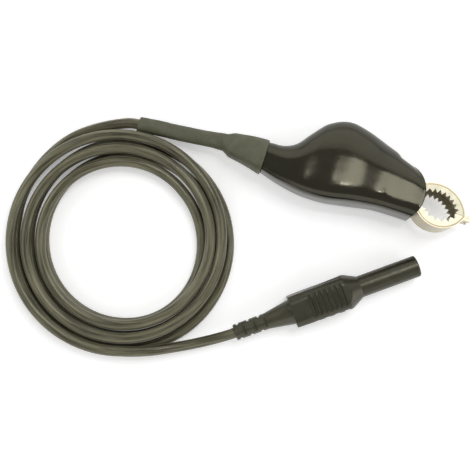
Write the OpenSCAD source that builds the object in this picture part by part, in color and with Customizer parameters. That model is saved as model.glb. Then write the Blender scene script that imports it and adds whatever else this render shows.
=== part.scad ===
// Test lead: a battery clip in a vinyl boot, a coiled silicone cable and a shrouded 4 mm safety plug.
// Millimetres, +Z up. The clip lies on its side along X with its jaws at +X, and the plug lies beside it.

/* [Jaws] */
// Distance from the pivot to the line where the jaws meet
jaw_reach = 39.8; // [37:0.2:42]
// Height of the meeting line above the pivot
jaw_meet = 1.2; // [0.4:0.1:2]
// Outer radius of the upper jaw
upper_jaw_r = 14.8; // [14:0.1:15.4]
// Outer radius of the lower jaw
lower_jaw_r = 12.4; // [11.8:0.1:13]
// Width over the jaws
jaw_w = 13; // [11.5:0.25:13.25]
// Thickness of the plated steel sheet
sheet_t = 1.2; // [1:0.1:1.3]
// Depth of the flanges from the web's outer face to the tooth tips
flange_d = 4.3; // [3.8:0.1:4.8]
// Height of the teeth
tooth_h = 1.7; // [1:0.1:2]
// Number of teeth on each flange of the upper jaw
upper_teeth = 8; // [6:1:10]
// Number of teeth on each flange of the lower jaw
lower_teeth = 6; // [4:1:8]
// Length of the lips at the front of the jaws
lip_len = 3.4; // [2:0.1:4]
// Width of the lips
lip_w = 8; // [5:0.5:10]

/* [Levers] */
// Length of the upper lever behind its waist
upper_lever_len = 33; // [28:0.5:34]
// Slope of the upper lever
upper_lever_tilt = 25; // [22:0.5:26]
// Distance from the pivot down to the lower lever's outer face
lower_web_drop = 4.6; // [4.5:0.05:4.8]
// Slope of the lower lever
lower_lever_tilt = 5; // [3:0.5:6]
// Distance from the pivot back to the crimp barrel
crimp_back = 27; // [25:0.5:28]
// Length of the crimp barrel
crimp_len = 9; // [6:0.5:10]
// Play on each side between the upper and the lower ears
ear_play = 0.3; // [0.15:0.05:0.4]

/* [Pivot] */
// Diameter of the rivet
rivet_d = 3.6; // [3.2:0.1:3.7]
// Diameter of the rivet's heads
rivet_head_d = 7; // [6:0.25:8]
// Height of the rivet's heads
rivet_head_h = 1.1; // [0.8:0.1:1.2]
// Running clearance between the rivet and the ears, on the radius
rivet_play = 0.06; // [0.03:0.01:0.1]
// Diameter of the spring wire
spring_wire_d = 1.2; // [1:0.1:1.2]
// Number of windings in the torsion spring
spring_windings = 4; // [3:1:4]
// Length of the spring's legs
spring_leg_len = 17; // [14:0.5:20]

/* [Boot] */
// Wall of the vinyl boot
boot_wall = 1.6; // [1.2:0.1:1.7]
// Distance from the pivot to the front of the boot's mouth
mouth_reach = 19.1; // [18.4:0.1:20]
// Radius of the curve that the mouth is cut to
mouth_r = 18; // [17.5:0.5:20]
// Roll of the clip about its long axis as it lies
clip_roll = 9; // [7:0.5:11]

/* [Sleeve] */
// Wall of the heat-shrink sleeve on the cable
sleeve_wall = 1.15; // [0.8:0.05:1.2]
// Wall of the heat-shrink sleeve where it is stretched over the boot
sleeve_stretched_wall = 0.75; // [0.6:0.05:0.9]
// Gap between the sleeve and what it covers
sleeve_gap = 0.1; // [0.1:0.05:0.2]

/* [Cable] */
// Diameter of the cable
cable_d = 4.8; // [4.2:0.1:4.8]
// Diameter of the bare conductor
conductor_d = 2.8; // [2.2:0.1:3]
// Radius of the coil's outer turn
coil_r = 51.1; // [50.5:0.1:52]
// Distance from one turn of the coil to the next
coil_pitch = 6.05; // [6:0.05:6.2]
// Height from the coil's lower layer to its upper layer
coil_step = 5.3; // [5.3:0.1:6]

/* [Plug] */
// Outer diameter of the shroud
shroud_d = 10; // [9.6:0.1:10.4]
// Inner diameter of the shroud
shroud_bore_d = 7; // [6.6:0.1:7.4]
// Length of the shroud in front of the shoulder
shroud_len = 28; // [26:0.5:30]
// Length of the shoulder between shroud and grip
shoulder_len = 7; // [6:0.5:8]
// Length of the grip behind the shoulder
grip_len = 26; // [25:0.5:28]
// Width of the grip at the shoulder
grip_w = 15.8; // [15.2:0.1:16.4]
// Width of the grip at its rear end
grip_rear_w = 14.4; // [13.8:0.1:15]
// Thickness of the grip
grip_t = 15; // [14.5:0.1:15.4]
// Distance from one grip groove to the next
groove_pitch = 2.42; // [2.2:0.02:2.5]
// Depth of the grip grooves
groove_depth = 0.7; // [0.4:0.1:0.9]
// Length of the strain relief's cone
cone_len = 12.5; // [11:0.5:14]
// Diameter of the cone at the grip
cone_d = 11.8; // [11.2:0.1:12.4]
// Diameter of the strain relief's ringed tail
tail_d = 7.5; // [7.2:0.1:8]
// Distance from one ring of the tail to the next
ring_pitch = 2.55; // [2.4:0.05:2.8]
// Number of slots between the rings of the tail
ring_slots = 6; // [5:1:7]

/* [Contact] */
// Diameter of the contact pin
pin_d = 4; // [3.9:0.05:4.1]
// Length of the contact pin in the shroud
pin_len = 19; // [18:0.5:20]
// Distance from the shroud's mouth back to the pin's nose
pin_recess = 3.5; // [3:0.25:5]
// Largest diameter of the contact cage
cage_d = 4.3; // [4.2:0.05:4.4]
// Number of springs in the contact cage
cage_springs = 6; // [4:1:8]

/* [Hidden] */
$fn = 48;

nickel = [0.82, 0.80, 0.74];
spring_steel = [0.55, 0.55, 0.56];
vinyl_black = [0.09, 0.09, 0.08];
sleeve_grey = [0.24, 0.24, 0.22];
cable_black = [0.14, 0.14, 0.13];
grip_black = [0.18, 0.18, 0.16];
gold = [0.80, 0.66, 0.36];
copper = [0.72, 0.43, 0.28];

// ---- Vectors, curves and swept tubes ----

function unit(v) = v / norm(v);
function lerp(a, b, t) = a + (b - a) * t;
function smooth(t) =
    let (u = min(max(t, 0), 1))
    u * u * (3 - 2 * u);
function last(list) = list[len(list) - 1];
function rest(list) = [for (i = [1:len(list) - 1]) list[i]];
function reversed(list) = [for (i = [len(list) - 1:-1:0]) list[i]];
function flat(lists) = [for (list = lists) each list];
function polar(r, angle) = [r * cos(angle), r * sin(angle)];
function level(v, z) = [v[0], v[1], z];
function arc(centre, r, from, to, steps) =
    [for (i = [0:steps]) centre + polar(r, lerp(from, to, i / steps))];

// A smooth curve through the rows of a table, at a place x in its first column.
function row_before(table, x, i = 0) =
    i >= len(table) - 2 || x < table[i + 1][0] ? i : row_before(table, x, i + 1);
function slope_at(table, i) =
    let (a = max(i - 1, 0),
         b = min(i + 1, len(table) - 1))
    (table[b] - table[a]) / (table[b][0] - table[a][0]);
function row_at(table, x) =
    let (i = row_before(table, x),
         w = table[i + 1][0] - table[i][0],
         t = (x - table[i][0]) / w,
         rise = t * t * (3 - 2 * t))
    lerp(table[i], table[i + 1], rise)
        + slope_at(table, i) * w * t * pow(1 - t, 2)
        - slope_at(table, i + 1) * w * (1 - t) * pow(t, 2);

// One ring of a tube round p, square to its way, with a corner at the top and at the bottom.
function ring(p, way, r, sides) =
    let (side = unit(cross([0, 0, 1], way)),
         up = cross(way, side))
    [for (k = [0:sides - 1])
        p + r * (sin(360 * k / sides) * side + cos(360 * k / sides) * up)];

function side_faces(from, to, sides) =
    [for (k = [0:sides - 1], half = [0, 1])
        let (a = from * sides + k,
             b = from * sides + (k + 1) % sides,
             c = to * sides + k,
             d = to * sides + (k + 1) % sides)
        half == 0 ? [a, b, c] : [b, d, c]];

// A solid through rings of equal corner counts, with flat ends.
module loft(rings) {
    sides = len(rings[0]);
    end = (len(rings) - 1) * sides;
    polyhedron(
        flat(rings),
        concat(
            flat([for (i = [0:len(rings) - 2]) side_faces(i, i + 1, sides)]),
            [for (k = [1:sides - 2]) [0, k + 1, k]],
            [for (k = [1:sides - 2]) [end, end + k, end + k + 1]]
        ),
        convexity = 10
    );
}

// A shell whose rings run one way along its outer face and back along its inner face.
module closed_loft(rings) {
    sides = len(rings[0]);
    count = len(rings);
    polyhedron(
        flat(rings),
        flat([for (i = [0:count - 1]) side_faces(i, (i + 1) % count, sides)]),
        convexity = 10
    );
}

// A tube along a route, whose two ends face the given ways.
module tube(route, first_way, last_way, r, sides) {
    end = len(route) - 1;
    loft([
        for (i = [0:end])
            let (way = i == 0 ? first_way
                     : i == end ? last_way
                     : unit(route[i + 1] - route[i]) + unit(route[i] - route[i - 1]))
            ring(route[i], unit(way), r, sides)
    ]);
}

// ---- Clip, in its own frame: X to the jaws' tip, Y to the upper lever, Z along the rivet ----

meet = [jaw_reach, jaw_meet];
meet_angle = atan2(jaw_meet, jaw_reach);
meet_gap = 0.1;
upper_nose_angle = 16;
lower_nose_angle = -17;
upper_centre = meet - polar(upper_jaw_r, upper_nose_angle);
lower_centre = meet - polar(lower_jaw_r, lower_nose_angle);
upper_w = jaw_w - 2 * (sheet_t + ear_play);
ear_r = lower_web_drop - sheet_t - 0.2;
rivet_r = rivet_d / 2;
rivet_hole_r = rivet_r + rivet_play;

// The upper jaw's web runs over its ring, dips at the waist and rises along the lever.
upper_turn = 124;
upper_waist_r = 9;
upper_waist = upper_centre + polar(upper_jaw_r + upper_waist_r, upper_turn);
upper_way = 180 - upper_lever_tilt;
upper_lever_start = upper_waist + polar(upper_waist_r, upper_way + 90);
upper_lever_end = upper_lever_start + polar(upper_lever_len, upper_way);
ring_facets = 18;
waist_facets = 8;
function upper_path(depth) =
    concat(
        arc(upper_centre, upper_jaw_r - depth, upper_nose_angle - 6, upper_turn, ring_facets),
        rest(arc(upper_waist, upper_waist_r + depth, upper_turn + 180, upper_way + 90, waist_facets)),
        [upper_lever_end + polar(depth, upper_way + 90)]
    );

// The lower jaw's web runs under its ring, rises at the waist and falls gently along the lever.
lower_way = 180 + lower_lever_tilt;
lower_waist_r = 3;
lower_waist_level = [0, -lower_web_drop] * polar(1, lower_way - 90) - lower_waist_r;
lower_turn = lower_way - 90 + acos(
    (lower_waist_level - lower_centre * polar(1, lower_way - 90)) / (lower_jaw_r + lower_waist_r)
);
lower_waist = lower_centre + polar(lower_jaw_r + lower_waist_r, lower_turn);
lower_lever_end = [-crimp_back, -lower_web_drop - crimp_back * tan(lower_lever_tilt)];
function lower_path(depth) =
    concat(
        arc(lower_centre, lower_jaw_r - depth, 366 + lower_nose_angle, lower_turn, ring_facets),
        rest(arc(lower_waist, lower_waist_r + depth, lower_turn - 180, lower_way - 90, waist_facets)),
        [lower_lever_end + polar(depth, lower_way - 90)]
    );

// Serrated inner edge of a flange, from one angle round the jaw's centre to the other.
function teeth(centre, r, from, to, count) =
    [for (i = [0:count * 2])
        centre + polar(r - flange_d + (i % 2 == 0 ? tooth_h : 0), lerp(from, to, i / count / 2))];

// A jaw seen from the side: its ring with the teeth, its lever, and its ear with the rivet's hole.
module side_outline(edge) {
    difference() {
        union() {
            polygon(edge);
            circle(ear_r);
        }
        circle(rivet_hole_r);
    }
}
module upper_outline() {
    heel = lerp(upper_lever_end, upper_lever_start, 0.35);
    side_outline(concat(
        upper_path(0),
        [upper_lever_end + polar(sheet_t + 0.8, upper_way + 90), heel + polar(4.6, upper_way + 90)],
        [[-ear_r, ear_r], [-ear_r, 0], [ear_r, 0]],
        [upper_centre + polar(upper_jaw_r - flange_d, upper_turn)],
        teeth(upper_centre, upper_jaw_r, upper_turn - 13, upper_nose_angle + 2, upper_teeth),
        [upper_centre + polar(upper_jaw_r - flange_d + tooth_h, upper_nose_angle - 6)]
    ));
}
module lower_outline() {
    heel = lerp(lower_lever_end, [0, -lower_web_drop], 0.45);
    side_outline(concat(
        lower_path(0),
        [lower_lever_end + polar(sheet_t + 0.8, lower_way - 90), heel + polar(4, lower_way - 90)],
        [[-ear_r, 0], [ear_r, 0]],
        [lower_centre + polar(lower_jaw_r - flange_d, lower_turn)],
        teeth(lower_centre, lower_jaw_r, lower_turn + 1, 358 + lower_nose_angle, lower_teeth),
        [lower_centre + polar(lower_jaw_r - flange_d + tooth_h, 366 + lower_nose_angle)]
    ));
}

// Everything ahead of the rings' middle and on the other side of the plane where the jaws meet.
span = 2 * jaw_reach;
module past_meeting(side) {
    rotate(meet_angle)
        translate([jaw_reach * 0.75, side > 0 ? meet_gap / 2 - span : -meet_gap / 2, -span / 2])
            cube(span);
}
// The lip turned forward at the nose, with a notch that faces the other lip's land.
module lip(side) {
    root = 1.6;
    notch_w = lip_w / 3;
    rotate(meet_angle)
        translate([norm(meet), 0, 0])
            difference() {
                translate([-root, side > 0 ? 0 : -sheet_t, -lip_w / 2])
                    cube([lip_len + root, sheet_t, lip_w]);
                translate([lip_len * 0.5, -2 * sheet_t, -notch_w / 2])
                    cube([lip_len, 4 * sheet_t, notch_w]);
            }
}

// Hollow of the upper ring up to the facet where its flanges step inwards, and of the lever behind.
step_facet = 16;
step_turn = upper_turn - 1;
upper_inside = upper_path(sheet_t);
upper_ring_hollow = concat(
    [upper_centre + polar(upper_jaw_r - sheet_t, upper_nose_angle - 14)],
    [for (i = [0:step_facet]) upper_inside[i]],
    [upper_centre]
);
upper_lever_hollow = concat(
    [for (i = [step_facet:len(upper_inside) - 1]) upper_inside[i]],
    [last(upper_inside) + polar(sheet_t, upper_way)],
    [[-span, -jaw_reach], [ear_r, -jaw_reach]],
    [upper_centre + polar(upper_jaw_r * 0.6, 90)]
);
lower_inside = lower_path(sheet_t);
lower_hollow = concat(
    [lower_centre + polar(lower_jaw_r - sheet_t, 374 + lower_nose_angle)],
    lower_inside,
    [last(lower_inside) + polar(sheet_t, lower_way)],
    [[-span, jaw_reach], [jaw_reach, jaw_reach]]
);
module upper_jaw_solid() {
    difference() {
        union() {
            difference() {
                linear_extrude(jaw_w, center = true) upper_outline();
                linear_extrude(jaw_w - 2 * sheet_t, center = true) polygon(upper_ring_hollow);
                linear_extrude(upper_w - 2 * sheet_t, center = true) polygon(upper_lever_hollow);
                // Behind the ring the sides are set in, between the lower jaw's ears.
                for (side = [0, 1])
                    mirror([0, 0, side])
                        translate(level(upper_centre, upper_w / 2))
                            rotate(step_turn - 90)
                                translate([-span, -span, 0]) cube([span, 2 * span, jaw_w]);
            }
            lip(1);
        }
        past_meeting(1);
    }
}
module lower_jaw_solid() {
    difference() {
        union() {
            difference() {
                linear_extrude(jaw_w, center = true) lower_outline();
                linear_extrude(jaw_w - 2 * sheet_t, center = true) polygon(lower_hollow);
            }
            lip(-1);
        }
        past_meeting(-1);
    }
    crimp_barrel();
}

// The barrel at the end of the lower lever, folded round the conductor with its seam on top.
conductor_r = conductor_d / 2;
crimp_r = conductor_r + 0.05;
crimp_y = lower_lever_end[1] + sheet_t + crimp_r;
crimp_end = -crimp_back - crimp_len;
module crimp_barrel() {
    joint = 1;
    seam_w = 0.6;
    difference() {
        union() {
            translate([crimp_end, crimp_y, 0])
                rotate([0, 90, 0]) cylinder(r = crimp_r + sheet_t, h = crimp_len + joint);
            translate([crimp_end, crimp_y - crimp_r - sheet_t, -jaw_w / 4])
                cube([crimp_len + joint, sheet_t, jaw_w / 2]);
        }
        translate([crimp_end - 1, crimp_y, 0])
            rotate([0, 90, 0]) cylinder(r = crimp_r, h = crimp_len + joint + 2);
        translate([crimp_end - 1, crimp_y, -seam_w / 2])
            cube([crimp_len + joint + 2, crimp_r + 2 * sheet_t, seam_w]);
    }
}

module rivet_solid() {
    under_head = jaw_w / 2 + rivet_play;
    cylinder(r = rivet_r, h = 2 * under_head, center = true);
    for (turn = [0, 180])
        rotate([turn, 0, 0]) translate([0, 0, under_head])
            rotate_extrude() polygon([
                [0, 0],
                [rivet_head_d / 2, 0],
                [rivet_head_d / 2, rivet_head_h * 0.4],
                [rivet_head_d * 0.42, rivet_head_h * 0.8],
                [rivet_head_d * 0.3, rivet_head_h],
                [0, rivet_head_h]
            ]);
}

// Torsion spring round the rivet, with one leg to each lever.
spring_wire_r = spring_wire_d / 2;
spring_mean_r = rivet_r + 0.3 + spring_wire_r;
spring_travel = upper_w - 2 * sheet_t - 0.6 - spring_wire_d;
spring_seat_gap = 0.3;
spring_steps = 12;
upper_web_level = upper_lever_start * polar(1, upper_way - 90) - sheet_t;
spring_rise = upper_web_level - spring_seat_gap - spring_wire_r - spring_mean_r;
spring_from = upper_way - asin(spring_rise / spring_leg_len) - 90;
spring_to = lower_way + 90 - 360 * spring_windings;
function spring_point(t) =
    level(polar(spring_mean_r, lerp(spring_from, spring_to, t)), spring_travel * (0.5 - t));
function spring_way(t) = level(polar(1, lerp(spring_from, spring_to, t) - 90), 0);
function spring_ring(p, way) =
    [for (k = [0:5])
        p + spring_wire_r * (cos(60 * k) * cross([0, 0, 1], way) - sin(60 * k) * [0, 0, 1])];
module torsion_spring_solid() {
    steps = ceil((spring_from - spring_to) / 360 * spring_steps);
    loft(concat(
        [spring_ring(spring_point(0) - spring_leg_len * spring_way(0), spring_way(0))],
        [for (i = [0:steps]) spring_ring(spring_point(i / steps), spring_way(i / steps))],
        [spring_ring(spring_point(1) + spring_leg_len * spring_way(1), spring_way(1))]
    ));
}

// ---- Boot and sleeve, in the clip's frame ----

// Outer form of the boot: a place along X, its lowest and highest point, half its thickness and
// its shift towards Z.
boot_form = [
    [-69, -3.3, 5.9, 4.4, -2.1],
    [-60, -5.1, 6.9, 5.5, -0.8],
    [-52, -7.3, 7.2, 6.5, 0],
    [-46, -9.0, 7.8, 7.4, 0],
    [-41, -10.0, 10.6, 8.3, 0],
    [-36, -10.9, 17.1, 9.1, 0],
    [-30, -11.4, 24.0, 9.7, 0],
    [-21, -11.0, 28.0, 10.9, 0],
    [-12, -9.3, 26.7, 11.4, 0],
    [0, -7.1, 22.6, 10.3, 0],
    [10, -6.6, 19.3, 10.5, 0],
    [14, -6.6, 17.3, 10.4, 0]
];
boot_rear = boot_form[0][0];
boot_front = last(boot_form)[0];
boot_sections = 26;
boot_sides = 28;
boot_taper = 0.14;
// Roundness of the boot's section below and above: 1 is an ellipse, and less is boxier.
boot_floor_power = 0.5;
boot_ridge_power = 0.95;
// The mouth is cut to an arc, which the front of the boot runs out to.
mouth_start = 2;
mouth_centre = [mouth_reach - mouth_r, 2.5];

function signed_power(v, power) = sign(v) * pow(abs(v), power);
function boot_corner(x, angle, inset) =
    let (row = row_at(boot_form, x),
         power = sin(angle) < 0 ? boot_floor_power : boot_ridge_power,
         half = (row[2] - row[1]) / 2 - inset,
         taper = boot_taper * sin(angle) * min(1, half / 15),
         y = (row[1] + row[2]) / 2 + half * signed_power(sin(angle), power),
         z = row[4] + (row[3] - inset) * (1 - taper) * signed_power(cos(angle), power),
         off_centre = min(abs(y - mouth_centre[1]), 0.9 * mouth_r),
         front = mouth_centre[0] + sqrt(pow(mouth_r, 2) - pow(off_centre, 2)),
         ahead = smooth((x - mouth_start) / (boot_front - mouth_start)))
    [x + ahead * (front - boot_front), y, z];
function boot_ring(x, inset, ahead = 0) =
    [for (k = [0:boot_sides - 1]) boot_corner(x, 360 * k / boot_sides, inset) + [ahead, 0, 0]];
boot_places = [for (i = [0:boot_sections]) lerp(boot_rear, boot_front, i / boot_sections)];
boot_outside = [for (x = boot_places) boot_ring(x, 0)];
module insulating_boot_solid() {
    lip_bulge = boot_wall * 0.35;
    closed_loft(concat(
        boot_outside,
        [boot_ring(boot_front, boot_wall * 0.2, lip_bulge)],
        [boot_ring(boot_front, boot_wall * 0.8, lip_bulge)],
        [for (x = reversed(boot_places)) boot_ring(x, boot_wall)]
    ));
}

// The sleeve is stretched over the rear of the boot and grips the cable behind it.
cable_r = cable_d / 2;
sleeve_covers = 5;
sleeve_bore_r = cable_r + sleeve_gap;
sleeve_r = sleeve_bore_r + sleeve_wall;
// Route of the cable inside the sleeve, in the clip's frame.
sleeve_route = [
    [-70.5, 1.3, -2.3],
    [-75, 1.3, -3.2],
    [-85, 0.6, -5.5],
    [-95, -0.1, -7.2],
    [-104, -0.8, -7.7],
    [-112.6, -1.9, -7.9]
];
function sleeve_ring(p, r) =
    [for (k = [0:boot_sides - 1])
        p + level([0, r * sin(360 * k / boot_sides)], r * cos(360 * k / boot_sides))];
module heat_shrink_sleeve_solid() {
    covered = [for (i = [0:sleeve_covers]) boot_places[i]];
    rear = [for (i = [1:len(sleeve_route) - 1]) sleeve_route[i]];
    closed_loft(concat(
        [for (p = reversed(rear)) sleeve_ring(p, sleeve_r)],
        [sleeve_ring(sleeve_route[0] - [1.6, 0, 0], sleeve_r + 0.4)],
        [for (x = covered) boot_ring(x, -sleeve_gap - sleeve_stretched_wall)],
        [for (x = reversed(covered)) boot_ring(x, -sleeve_gap)],
        [boot_ring(boot_rear, -sleeve_gap, -sleeve_gap)],
        [for (p = sleeve_route) sleeve_ring(p, sleeve_bore_r)]
    ));
}

// How the clip lies: rolled about X, its boot on the ground and the whole centred over the origin.
clip_y = [0, cos(clip_roll), -sin(clip_roll)];
clip_z = [0, sin(clip_roll), cos(clip_roll)];
function rolled(p) = level([p[0], 0], 0) + p[1] * clip_y + p[2] * clip_z;
boot_lies = [for (p = flat(boot_outside)) rolled(p)];
boot_lies_y = [for (p = boot_lies) p[1]];
clip_front = (norm(meet) + lip_len) * cos(meet_angle);
clip_at = [
    -(clip_front + last(sleeve_route)[0]) / 2,
    -(max(boot_lies_y) + min(boot_lies_y)) / 2,
    -min([for (p = boot_lies) p[2]])
];
function placed(p) = clip_at + rolled(p);
module place_clip() {
    translate(clip_at) rotate([-clip_roll, 0, 0]) children();
}

// ---- Cable ----

lead_sides = 10;
// The jacket starts behind the crimp barrel and runs through the boot's neck, in the clip's frame.
bare_len = 3;
jacket_start = [crimp_end - bare_len, crimp_y, 0];
neck_route = [
    [-43, -4.2, 0],
    [-48, -2.2, 0],
    [-54, 0.1, -0.3],
    [-62, 1.2, -1.2]
];
// Route on the ground from the sleeve to the coil.
ground_route = [
    [-82, -11.7, 4.8],
    [-88.5, -14.3, 3.1],
    [-96, -18.5, cable_r],
    [-103.5, -24.3, cable_r],
    [-109.4, -31.2, cable_r],
    [-114.2, -39.8, cable_r],
    [-117.3, -48.4, cable_r],
    [-118.9, -56.5, cable_r]
];
module lead_clip_side_solid() {
    tube(
        concat(
            [for (p = concat([jacket_start], neck_route, sleeve_route)) placed(p)],
            ground_route,
            [coil_route[0]]
        ),
        [-1, 0, 0],
        coil_start_way,
        cable_r,
        lead_sides
    );
}
module clip_conductor_solid() {
    translate([jacket_start[0], crimp_y, 0])
        rotate([0, 90, 0]) cylinder(r = conductor_r, h = bare_len + crimp_len);
}

// The coil spirals in on the ground, climbs where it turns round and spirals out on top of itself.
coil_centre = [-67.5, -64.6];
coil_drift = [-2.3, 0.5];
// How far the inner turns lie to one side, for each turn.
coil_lean = [0.7, 0.15];
coil_in_angle = 185;
coil_out_angle = 289;
coil_loops = 5;
coil_steps = 24;
coil_sides = 6;
coil_turns = coil_loops + (coil_out_angle - coil_in_angle) / 360;
function coil_point(turn) =
    let (inwards = min(turn, coil_turns - turn),
         past_middle = turn - coil_turns / 2,
         centre = coil_centre + smooth((past_middle + 0.35) / 0.3) * coil_drift + inwards * coil_lean)
    level(
        centre + polar(coil_r - coil_pitch * inwards, coil_in_angle + 360 * turn),
        cable_r + coil_step * smooth(past_middle * 2 + 0.5)
    );
coil_count = ceil(coil_turns * coil_steps);
coil_bends = [for (i = [0:coil_count]) coil_point(coil_turns * i / coil_count)];
coil_start_way = unit(coil_bends[1] - coil_bends[0]);
coil_end_way = unit(last(coil_bends) - coil_bends[coil_count - 1]);
coil_route = concat(
    [coil_bends[0] - cable_d * coil_start_way],
    coil_bends,
    [last(coil_bends) + cable_d * coil_end_way]
);
// Least gap between stretches over half a turn apart, from each ring to the line between two others.
function off_line(p, a, b) =
    let (way = b - a,
         t = min(max((p - a) * way / (way * way), 0), 1))
    norm(p - a - t * way);
coil_gap = -cable_d + min([
    for (i = [0:coil_count + 2], j = [0:coil_count + 1])
        if (abs(i - j) > coil_steps / 2) off_line(coil_route[i], coil_route[j], coil_route[j + 1])
]);
module cable_coil_solid() {
    echo(coil_turns = coil_turns, least_gap_in_coil = coil_gap);
    tube(coil_route, coil_start_way, coil_end_way, cable_r, coil_sides);
}

// ---- Plug, in its own frame: X from the cable's exit to the shroud's mouth ----

plug_exit = [-6.1, -87.9, grip_t / 2];
plug_turn = 38.4;
plug_way = level(polar(1, plug_turn), 0);
tail_len = ring_slots * ring_pitch;
grip_x = tail_len + cone_len;
shoulder_x = grip_x + grip_len;
shroud_x = shoulder_x + shoulder_len;
mouth_x = shroud_x + shroud_len;
fit_gap = 0.1;
socket_r = 5.1;
spigot_len = 7;
module place_plug() {
    translate(plug_exit) rotate([0, 0, plug_turn]) children();
}
// A round piece along X, from its outline as [x, radius] points.
module turned(outline) {
    rotate([90, 0, 90]) rotate_extrude() polygon([for (p = outline) [p[1], p[0]]]);
}

// Route in the air from the coil to the strain relief, and how far the jacket goes in.
air_route = [
    [-40, -107.8, 7.5],
    [-31, -103.5, 6.2],
    [-22, -98.6, 5.8],
    [-14, -93.6, 6.6]
];
jacket_end = grip_x + 13;
module lead_plug_side_solid() {
    tube(
        concat(
            [last(coil_route)],
            air_route,
            [for (t = [-0.05, 0.15, 0.45, 0.75, 1]) plug_exit + jacket_end * t * plug_way]
        ),
        coil_end_way,
        plug_way,
        cable_r,
        lead_sides
    );
}

module strain_relief_solid() {
    outer_r = tail_d / 2;
    bore_r = cable_r + fit_gap;
    slot_w = ring_pitch * 0.46;
    slot_floor = bore_r + 0.5;
    spigot_r = socket_r - fit_gap;
    difference() {
        turned([
            [0, bore_r],
            [0, outer_r - 0.3],
            [0.3, outer_r],
            [tail_len, outer_r],
            [grip_x, cone_d / 2],
            [grip_x, spigot_r],
            [grip_x + spigot_len, spigot_r],
            [grip_x + spigot_len, bore_r]
        ]);
        // Slots from two sides, each pair a quarter turn from the last.
        for (i = [0:ring_slots - 1], side = [0, 180])
            rotate([i % 2 * 90 + side, 0, 0])
                translate([(i + 0.6) * ring_pitch, slot_floor, -outer_r])
                    cube([slot_w, outer_r, tail_d]);
        // Flat recess on the cone, above and below.
        for (side = [0, 1])
            mirror([0, 0, side])
                translate([tail_len + cone_len * 0.5, 0.6, cone_d * 0.4])
                    cube([cone_len * 0.4, cone_d / 3, cone_d]);
    }
}

// Rounded rectangle, w along Y and t along Z, run along X.
module rounded_bar(x, len, w, t, r) {
    translate([x, 0, 0]) rotate([90, 0, 90]) linear_extrude(len) {
        square([w - 2 * r, t], center = true);
        square([w, t - 2 * r], center = true);
        for (a = [-1, 1], b = [-1, 1])
            translate([a * (w / 2 - r), b * (t / 2 - r)]) circle(r);
    }
}
grip_corner_r = 4.5;
groove_count = 7;
grip_panel_x = shoulder_x - (groove_count - 0.5) * groove_pitch - 1;
module plug_grip_solid() {
    keel_h = 0.5;
    side_taper = atan((grip_w - grip_rear_w) / 2 / grip_len);
    difference() {
        rounded_bar(grip_x, grip_len, grip_w, grip_t, grip_corner_r);
        turned([[grip_x - 1, 0], [grip_x - 1, socket_r], [shoulder_x + 1, socket_r], [shoulder_x + 1, 0]]);
        // The sides draw in towards the rear.
        for (side = [0, 1])
            mirror([0, side, 0])
                translate([shoulder_x, grip_w / 2, 0])
                    rotate([0, 0, side_taper])
                        translate([-2 * grip_len, 0, -grip_t])
                            cube([4 * grip_len, grip_w, 2 * grip_t]);
        // The upper side is set back, but for a keel.
        for (side = [0, 1])
            mirror([0, 0, side])
                translate([grip_panel_x, grip_w / 2 - keel_h, 1.6])
                    cube([grip_len, grip_w, grip_t]);
        // Grooves across the broad faces, and the notches where every other one runs over the edge.
        for (i = [0:groove_count - 1], side = [0, 1])
            mirror([0, 0, side])
                translate([shoulder_x - 1 - (i + 0.5) * groove_pitch, 0, grip_t / 2 + 0.2]) {
                    rotate([90, 0, 0]) cylinder(r = groove_depth + 0.2, h = grip_w * 0.7, center = true, $fn = 24);
                    if (i % 2 == 0)
                        translate([0, -grip_w / 2 - 0.4, -grip_t / 2 - 0.2])
                            cylinder(r = 1.4, h = grip_t * 0.35, $fn = 24);
                }
    }
}

// The carrier: shroud, shoulder and the spigot that the grip is moulded round.
pin_r = pin_d / 2;
pin_nose_x = mouth_x - pin_recess;
pin_root_x = pin_nose_x - pin_len;
pin_collar_x = shoulder_x + 1.5;
pin_cup_x = shoulder_x - spigot_len;
pin_cup_r = 2.3;
pin_shank_r = 2.4;
pin_collar_r = 3;
collar_len = 2;
module plug_shroud_solid() {
    bore_r = shroud_bore_d / 2;
    outer_r = shroud_d / 2;
    shank_r = pin_shank_r + fit_gap / 2;
    seat_r = pin_collar_r + fit_gap;
    difference() {
        union() {
            intersection() {
                rounded_bar(shoulder_x, shoulder_len + 1, grip_w, grip_t, grip_corner_r);
                turned([
                    [shoulder_x, 0],
                    [shoulder_x, outer_r * 1.74],
                    [shroud_x, outer_r],
                    [shroud_x + 1, outer_r],
                    [shroud_x + 1, 0]
                ]);
            }
            turned([[pin_cup_x, 0], [pin_cup_x, socket_r - fit_gap], [shroud_x, socket_r - fit_gap], [shroud_x, 0]]);
            turned([
                [shroud_x - 1, 0],
                [shroud_x - 1, outer_r],
                [mouth_x - 0.4, outer_r],
                [mouth_x, outer_r - 0.4],
                [mouth_x, 0]
            ]);
        }
        turned([[pin_root_x, 0], [pin_root_x, bore_r], [mouth_x + 1, bore_r], [mouth_x + 1, 0]]);
        turned([[pin_cup_x - 1, 0], [pin_cup_x - 1, shank_r], [mouth_x, shank_r], [mouth_x, 0]]);
        turned([
            [pin_cup_x - 1, 0],
            [pin_cup_x - 1, seat_r],
            [pin_collar_x + collar_len, seat_r],
            [pin_collar_x + collar_len, 0]
        ]);
    }
}

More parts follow.
